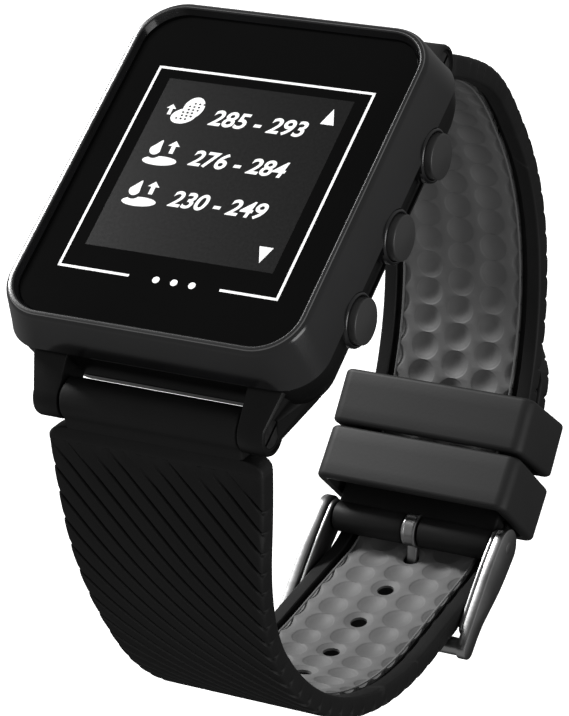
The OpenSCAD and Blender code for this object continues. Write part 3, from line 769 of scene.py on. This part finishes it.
def dimple_height(x, s, ref):
    """How deep the liner's face lies at x, s below its flat, from the nearest dimple."""
    best = np.full_like(x, 99.0)
    for column in range(-3, 4):
        shift = 0.5 * (column % 2)
        k = np.round((s - ref) / DIMPLE_S - shift)
        centre = ref + (k + shift) * DIMPLE_S
        best = np.minimum(best, np.hypot(x - column * DIMPLE_X, s - centre))
    deep = np.sqrt(np.maximum(SPHERE_R ** 2 - best ** 2, 0)) - (SPHERE_R - DIMPLE_DEPTH)
    return np.maximum(deep, 0) + 0.05 * np.clip((DIMPLE_R + 0.08 - best) / 0.16, 0, 1) * (best > 1.7)


def liner(name, path, end, holes, body, ref):
    """A lining with staggered round dimples, some of them with a hole through the middle."""
    spokes = 24
    radii = [0.0, 0.45, 0.9, 1.3, 1.58, 1.74, 1.8, 1.88]
    flat = []
    faces = []
    for column in range(-3, 4):
        shift = 0.5 * (column % 2)
        first = int((LINER_START - ref) / DIMPLE_S) - 2
        last = int((end - ref) / DIMPLE_S) + 3
        for k in range(first, last):
            cx, cs = column * DIMPLE_X, ref + (k + shift) * DIMPLE_S
            if cs < LINER_START - DIMPLE_S or cs > end + DIMPLE_S:
                continue
            hole = column == 0 and any(abs(cs - place) < 0.5 for place in holes)
            base = len(flat)
            rings = [HOLE_R, 1.25, 1.45] + radii[4:] if hole else radii[1:]
            for r in rings:
                for i in range(spokes):
                    q = 2 * math.pi * i / spokes
                    flat.append((cx + r * math.cos(q), cs + r * math.sin(q)))
            half_x, half_s = DIMPLE_X / 2, DIMPLE_S / 2
            for i in range(spokes):
                side, step = divmod(i + 3, 6)
                f = (step - 3) / 3
                corner = [(half_x, f * half_s), (-f * half_x, half_s), (-half_x, -f * half_s),
                          (f * half_x, -half_s)][side % 4]
                flat.append((cx + corner[0], cs + corner[1]))
            n = len(rings)
            for ring in range(n):
                for i in range(spokes):
                    j = (i + 1) % spokes
                    here, there = base + ring * spokes, base + (ring + 1) * spokes
                    faces.append((here + i, here + j, there + j, there + i))
            if not hole:
                flat.append((cx, cs))
                for i in range(spokes):
                    faces.append((base + i, base + (i + 1) % spokes, len(flat) - 1))
    flat = np.array(flat)
    s = np.clip(flat[:, 1], LINER_START, end)
    limit = half_width(path, s) - LINER_INSET
    x = np.clip(flat[:, 0], -limit, limit)
    h = LINER_FACE + dimple_height(x, s, ref)
    work = bmesh.new()
    verts = [work.verts.new((x[i], h[i], s[i])) for i in range(len(x))]
    for face in faces:
        pts = [(round(x[i], 4), round(s[i], 4)) for i in face]
        if len(set(pts)) > 2:
            area = sum(pts[i][0] * pts[(i + 1) % len(pts)][1] - pts[(i + 1) % len(pts)][0] * pts[i][1]
                       for i in range(len(pts)))
            if abs(area) > 1e-4:
                work.faces.new([verts[i] for i in face])
    bmesh.ops.remove_doubles(work, verts=work.verts, dist=0.01)
    edges = [e for e in work.edges if len(e.link_faces) == 1]
    skirt = bmesh.ops.extrude_edge_only(work, edges=edges)
    for v in skirt["geom"]:
        if isinstance(v, bmesh.types.BMVert):
            v.co.y = -STRAP_HALF_T + RECESS - 0.04
    loose = [v for v in work.verts if not v.link_faces]
    bmesh.ops.delete(work, geom=loose, context="VERTS")
    bmesh.ops.recalc_face_normals(work, faces=work.faces)
    bend_mesh(work, path)
    mesh = bpy.data.meshes.new(name)
    work.to_mesh(mesh)
    work.free()
    mesh.materials.append(LINING)
    soften(mesh, 28)
    obj = bpy.data.objects.new(name, mesh)
    bpy.context.scene.collection.objects.link(obj)
    # A fine bead runs along both edges
    bead = Build()
    for sx in (-1, 1):
        rings = []
        for s1 in np.arange(LINER_START + 0.3, end - 0.2, 0.8):
            edge = float(half_width(path, s1)) - LINER_INSET
            q = np.linspace(0, 2 * math.pi, 8, endpoint=False)
            rings.append(path.bend(sx * (edge - 0.1) + 0.14 * np.cos(q),
                                   LINER_FACE + 0.03 + 0.12 * np.sin(q), np.full(8, s1)))
        bead.loft(rings)
    piece(name + "_edge", bead, [LINING], body, sharp=60)
    # A smooth strip of the strap's rubber closes the recess at both ends
    strips = Build()
    for at in (LINER_START - 1.2, end + 1.2):
        edge = float(half_width(path, at)) - RIM_W + 0.1
        rings = []
        for across in np.linspace(-edge, edge, 13):
            ring = np.array([(h, s1) for s1, h, _ in rounded_ring(1.4, 0.4, 0.12, 0, 3)])
            rings.append(path.bend(np.full(len(ring), across), ring[:, 0] - STRAP_HALF_T + 0.36,
                                   ring[:, 1] + at))
        strips.loft(rings)
    piece(name + "_stops", strips, [RUBBER], body, sharp=40)
    return obj


def straps():
    """Both strap halves with their ends, linings and the loop round the buckle's bar."""
    upper_end = UPPER_LEN - 1
    obj = strap("upper_strap_band", UPPER, upper_end, UPPER_LEN - 6)
    soften(obj.data, 32)
    dress(obj, "upper_strap", ["upper_strap"])
    piece("upper_strap_neck", neck(UPPER), [RUBBER], "upper_strap", sharp=40)
    tip_s = LOWER_LEN - STRAP_HALF
    obj = strap("lower_strap_band", LOWER, LOWER_LEN, tip_s - 1, (tip_s, STRAP_HALF))
    places = [(HOLE_USED + k * HOLE_PITCH, HOLE_R, 0) for k in (-4, -3, -2, -1, 1, 2, 3)]
    cut(obj, hole_cutter(LOWER, places + [(HOLE_USED, HOLE_R + 0.1, TONGUE_SLANT)]))
    soften(obj.data, 32)
    dress(obj, "lower_strap", ["lower_strap"])
    piece("lower_strap_neck", neck(LOWER), [RUBBER], "lower_strap", sharp=40)
    holes = [p[0] for p in places] + [HOLE_USED]
    lining = liner("upper_liner", UPPER, UPPER_LEN - 8, [], "upper_strap", HOLE_USED)
    dress(lining, "upper_strap", ["upper_liner"])
    lining = liner("lower_liner", LOWER, tip_s - 3, holes, "lower_strap", HOLE_USED)
    dress(lining, "lower_strap", ["lower_liner"])
    wrap = Build()
    for sx in (-1, 1):
        r = 1.95
        profile = [(1.12, 0.8), (1.12, r - 0.25), (1.2, r - 0.08), (1.38, r), (STRAP_HALF - 0.4, r),
                   (STRAP_HALF - 0.12, r - 0.1), (STRAP_HALF, r - 0.4), (STRAP_HALF, 0.8)]
        wrap.turned([(sx * x, q) for x, q in profile], BAR_Y, BAR_Z, around=True)
    piece("upper_strap_wrap", wrap, [RUBBER], "upper_strap", sharp=40)


# ---- Keepers and buckle --------------------------------------------------------------------

KEEPER_HALF_W, KEEPER_HALF_H, KEEPER_WALL, KEEPER_HALF_L = 13.1, 6.2, 1.4, 3.5


KEEPER_SHIFT = 0.1                                # outwards of the upper strap's middle


def keeper(name, s, tilt):
    """A loop of rubber round both strap halves, with softly rounded edges."""
    y, z, a = [float(c) for c in UPPER.at(s)]
    lean = math.radians(tilt)
    along0, out0 = np.array([math.cos(a), -math.sin(a)]), np.array([math.sin(a), math.cos(a)])
    along = along0 * math.cos(lean) - out0 * math.sin(lean)
    out = along0 * math.sin(lean) + out0 * math.cos(lean)
    soft, l1, wall = 0.55, KEEPER_HALF_L, KEEPER_WALL
    loop = []
    for deg in (0, 22.5, 45, 67.5, 90):
        q = math.radians(deg)
        loop.append((soft - soft * math.sin(q), l1 - soft + soft * math.cos(q)))
    loop += [(0, l1 * 0.4), (0, 0), (0, -l1 * 0.4)]
    for deg in (90, 67.5, 45, 22.5, 0):
        q = math.radians(deg)
        loop.append((soft - soft * math.sin(q), -l1 + soft - soft * math.cos(q)))
    loop += [(wall - 0.3, -l1), (wall - 0.08, -l1 + 0.08), (wall, -l1 + 0.3), (wall, l1 - 0.3),
             (wall - 0.08, l1 - 0.08), (wall - 0.3, l1)]
    rings = []
    for inset, l in loop:
        ring = []
        for px, ph, _ in rounded_ring(KEEPER_HALF_W - inset, KEEPER_HALF_H - inset,
                                      max(0.5, 1.5 - inset * 0.7), 0, 8):
            place = np.array([y, z]) + along * l + out * (ph + KEEPER_SHIFT)
            ring.append((px, place[0], place[1]))
        rings.append(ring)
    build = Build()
    build.loft(rings, around=True)
    piece(name + "_loop", build, [LOOP], name, [name], 50)


BUCKLE_HEADING = float(UPPER.at(UPPER_LEN)[2])


def in_buckle(x, u, v):
    """A point u along and v outwards of the buckle's bar."""
    a = BUCKLE_HEADING
    return (x, BAR_Y + u * math.cos(a) + v * math.sin(a), BAR_Z - u * math.sin(a) + v * math.cos(a))


FAR_U, FAR_V = 14.1, 0.1


def arm_outline(inset, u_end, steps=22):
    """The outline of a buckle arm in its own plane: round at the bar, slim and curved at the end."""
    spine = [(0.0, 0.0, 2.4), (2.5, 0.0, 2.4), (4.5, 0.0, 2.3), (6.5, -0.05, 2.05), (8.5, -0.15, 1.75),
             (10.2, -0.2, 1.5), (12.0, -0.1, 1.38), (FAR_U, FAR_V, 1.38)]
    knots = [p[0] for p in spine]
    u = np.linspace(0, u_end, steps)
    v = np.interp(u, knots, [p[1] for p in spine])
    r = np.interp(u, knots, [p[2] for p in spine]) - inset
    points = []
    for q in np.linspace(90, 270, 13):
        points.append((r[0] * math.cos(math.radians(q)), v[0] + r[0] * math.sin(math.radians(q))))
    points += [(u[i], v[i] - r[i]) for i in range(1, steps)]
    for q in np.linspace(-80, 80, 11):
        points.append((u[-1] + r[-1] * math.cos(math.radians(q)),
                       v[-1] + r[-1] * math.sin(math.radians(q))))
    points += [(u[i], v[i] + r[i]) for i in range(steps - 1, 0, -1)]
    return points


def buckle():
    """Two steel arms, each of two plates with a groove between them, and the far bar."""
    build = Build()
    for sx in (-1, 1):
        plates = ((ARM_OUT - 1.25, ARM_OUT, 0.0, FAR_U, 0.16),
                  (10.98, ARM_OUT - 1.42, 0.35, 11.4, 0.12),
                  (ARM_OUT - 1.5, ARM_OUT - 1.2, 0.75, 12.5, 0.02))
        for x0, x1, inset, u_end, soft in plates:
            rings = []
            for x, extra in ((x0, soft), (x0 + 0.3 * soft, 0.3 * soft), (x0 + soft, 0), (x1 - soft, 0),
                             (x1 - 0.3 * soft, 0.3 * soft), (x1, soft)):
                rings.append([in_buckle(sx * x, u, v) for u, v in arm_outline(inset + extra, u_end)])
            build.loft(rings)
        pin = in_buckle(0, 0, 0)
        build.turned([(sx * (ARM_OUT - 0.1), 0.72), (sx * (ARM_OUT + 0.02), 0.72),
                      (sx * (ARM_OUT + 0.05), 0.62)], pin[1], pin[2], steps=40)
    far = in_buckle(0, FAR_U, FAR_V)
    build.turned([(-ARM_OUT + 0.6, 0.9), (-ARM_OUT + 0.9, 1.08), (-10.5, 1.1), (10.5, 1.1),
                  (ARM_OUT - 0.9, 1.08), (ARM_OUT - 0.6, 0.9)], far[1], far[2])
    piece("buckle_arms", build, [STEEL], "buckle_frame", ["buckle_frame"], 28)


def prong():
    """A ring round the bar and a bent tongue that comes out through the strap's hole."""
    build = Build()
    y, z = in_buckle(0, 0, 0)[1:]
    band = [(-0.95, 0.8), (-0.95, 1.9), (-0.9, 2.05), (-0.78, 2.13), (-0.62, 2.13), (-0.52, 2.04),
            (0.52, 2.04), (0.62, 2.13), (0.78, 2.13), (0.9, 2.05), (0.95, 1.9), (0.95, 0.8)]
    build.turned(band, y, z, around=True)
    knots = [(1.0, 0.72), (2.2, 1.9), (3.4, 3.05), (4.3, 3.95), (4.75, 4.3), (5.2, 4.42), (5.9, 4.25),
             (7.5, 3.75), (10.0, 3.02), (12.5, 2.28), (14.0, 1.86), (15.0, 1.62), (15.35, 1.5)]
    rings = []
    for i, (u, v) in enumerate(knots):
        u0, v0 = knots[max(i - 1, 0)]
        u1, v1 = knots[min(i + 1, len(knots) - 1)]
        size = math.hypot(u1 - u0, v1 - v0)
        nu, nv = -(v1 - v0) / size, (u1 - u0) / size
        taper = 0.55 if i == len(knots) - 1 else 1.0
        half_w, half_h = 0.72 * taper, 0.46 * taper
        ring = []
        for px, ph, _ in rounded_ring(half_w, half_h, 0.28 * taper, 0, 4):
            ring.append(in_buckle(px, u + ph * nu, v + ph * nv))
        rings.append(ring)
    build.loft(rings)
    piece("buckle_tongue", build, [STEEL], "buckle_prong", ["buckle_prong"], 35)


# ---- The CAD nodes that keep their shape ---------------------------------------------------

KEPT = {
    "rear_cover": COVER, "rear_cover_screws": DARK_STEEL, "contact_insert": SATIN,
    "charge_contacts": GOLD, "strap_bar_screws": DARK_STEEL, "upper_strap_bar": STEEL,
    "lower_strap_bar": STEEL, "buckle_bar": STEEL, "lens_gasket": RUBBER, "rear_cover_seal": RUBBER,
    "button_seals": RUBBER, "display_panel": LCD, "display_frame": SATIN, "main_board": BOARD,
    "gps_antenna": CERAMIC, "battery": FOIL, "vibration_motor": STEEL, "side_switches": CAP,
    "up_button_clip": STEEL, "ok_button_clip": STEEL, "down_button_clip": STEEL,
}


def finish_kept():
    """Gives the CAD nodes that stay their materials."""
    for name, mat in KEPT.items():
        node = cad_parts[name]
        for i in range(max(1, len(node.material_slots))):
            if not node.material_slots:
                node.data.materials.append(mat)
            node.material_slots[i].material = mat


# ---- Camera, light and floor ---------------------------------------------------------------

def camera():
    """A long lens in front, above and to the right of the watch."""
    data = bpy.data.cameras.new("camera")
    data.lens = 165.92
    data.sensor_width = 36
    data.clip_end = 50
    obj = bpy.data.objects.new("camera", data)
    right = Vector((0.8729, 0.3789, -0.3073))
    forward = Vector((-0.4642, 0.4508, -0.7625))
    up = right.cross(forward).normalized()
    right = forward.cross(up).normalized()
    turn = Matrix((right, up, -forward)).transposed().to_4x4()
    obj.matrix_world = Matrix.Translation((0.17294, -0.17236, 0.26786)) @ turn
    bpy.context.scene.collection.objects.link(obj)
    bpy.context.scene.camera = obj


def area_light(name, direction, distance, size, watts):
    data = bpy.data.lights.new(name, "AREA")
    data.energy = watts
    data.size = size
    obj = bpy.data.objects.new(name, data)
    aim = Vector((0, 0, -0.025))
    obj.location = aim + Vector(direction).normalized() * distance
    obj.rotation_euler = (aim - obj.location).to_track_quat("-Z", "Y").to_euler()
    bpy.context.scene.collection.objects.link(obj)


FLOOR_DROP = 250                                  # below the lowest point of the watch
FLOOR_HALF = 3000


def studio():
    """Soft key light from the upper left, a weak side light, a pale room and a pale floor."""
    area_light("key", (-0.7, 0.43, 0.59), 0.9, 0.18, 9.5)
    area_light("side", (1.0, -0.15, 0.1), 0.9, 0.5, 3)
    world = bpy.data.worlds.new("studio")
    world.use_nodes = True
    # The room is pale above and dim below, so undersides stay dark
    nodes, links = world.node_tree.nodes, world.node_tree.links
    coords = nodes.new("ShaderNodeTexCoord")
    split = nodes.new("ShaderNodeSeparateXYZ")
    level = nodes.new("ShaderNodeMapRange")
    level.inputs["From Min"].default_value = -0.85
    level.inputs["From Max"].default_value = -0.35
    level.inputs["To Min"].default_value = 0.03
    level.inputs["To Max"].default_value = 0.32
    links.new(coords.outputs["Generated"], split.inputs["Vector"])
    links.new(split.outputs["Z"], level.inputs["Value"])
    links.new(level.outputs["Result"], nodes["Background"].inputs["Strength"])
    nodes["Background"].inputs["Color"].default_value = (1, 1, 1, 1)
    bpy.context.scene.world = world
    bpy.context.scene.view_settings.view_transform = "Standard"
    low = min(v[2] for v in cad_box)
    ground = Build()
    z = low / MM - FLOOR_DROP
    corners = [(-FLOOR_HALF, -FLOOR_HALF), (FLOOR_HALF, -FLOOR_HALF), (FLOOR_HALF, FLOOR_HALF),
               (-FLOOR_HALF, FLOOR_HALF)]
    ground.loft([[(px, py, z) for px, py in corners], [(px, py, z - 1) for px, py in corners]])
    mesh = bpy.data.meshes.new("floor")
    mesh.from_pydata([[c * MM for c in v] for v in ground.verts], [], ground.faces)
    mesh.materials.append(FLOOR)
    floor = bpy.data.objects.new("floor", mesh)
    bpy.context.scene.collection.objects.link(floor)
    floor.visible_diffuse = floor.visible_glossy = False


upper_case()
lens()
display()
lower_case()
for button_name in BUTTONS:
    button(button_name)
straps()
keeper("upper_keeper", 73.87, 6.0)
keeper("lower_keeper", 81.77, 0.0)
buckle()
prong()
finish_kept()
camera()
studio()
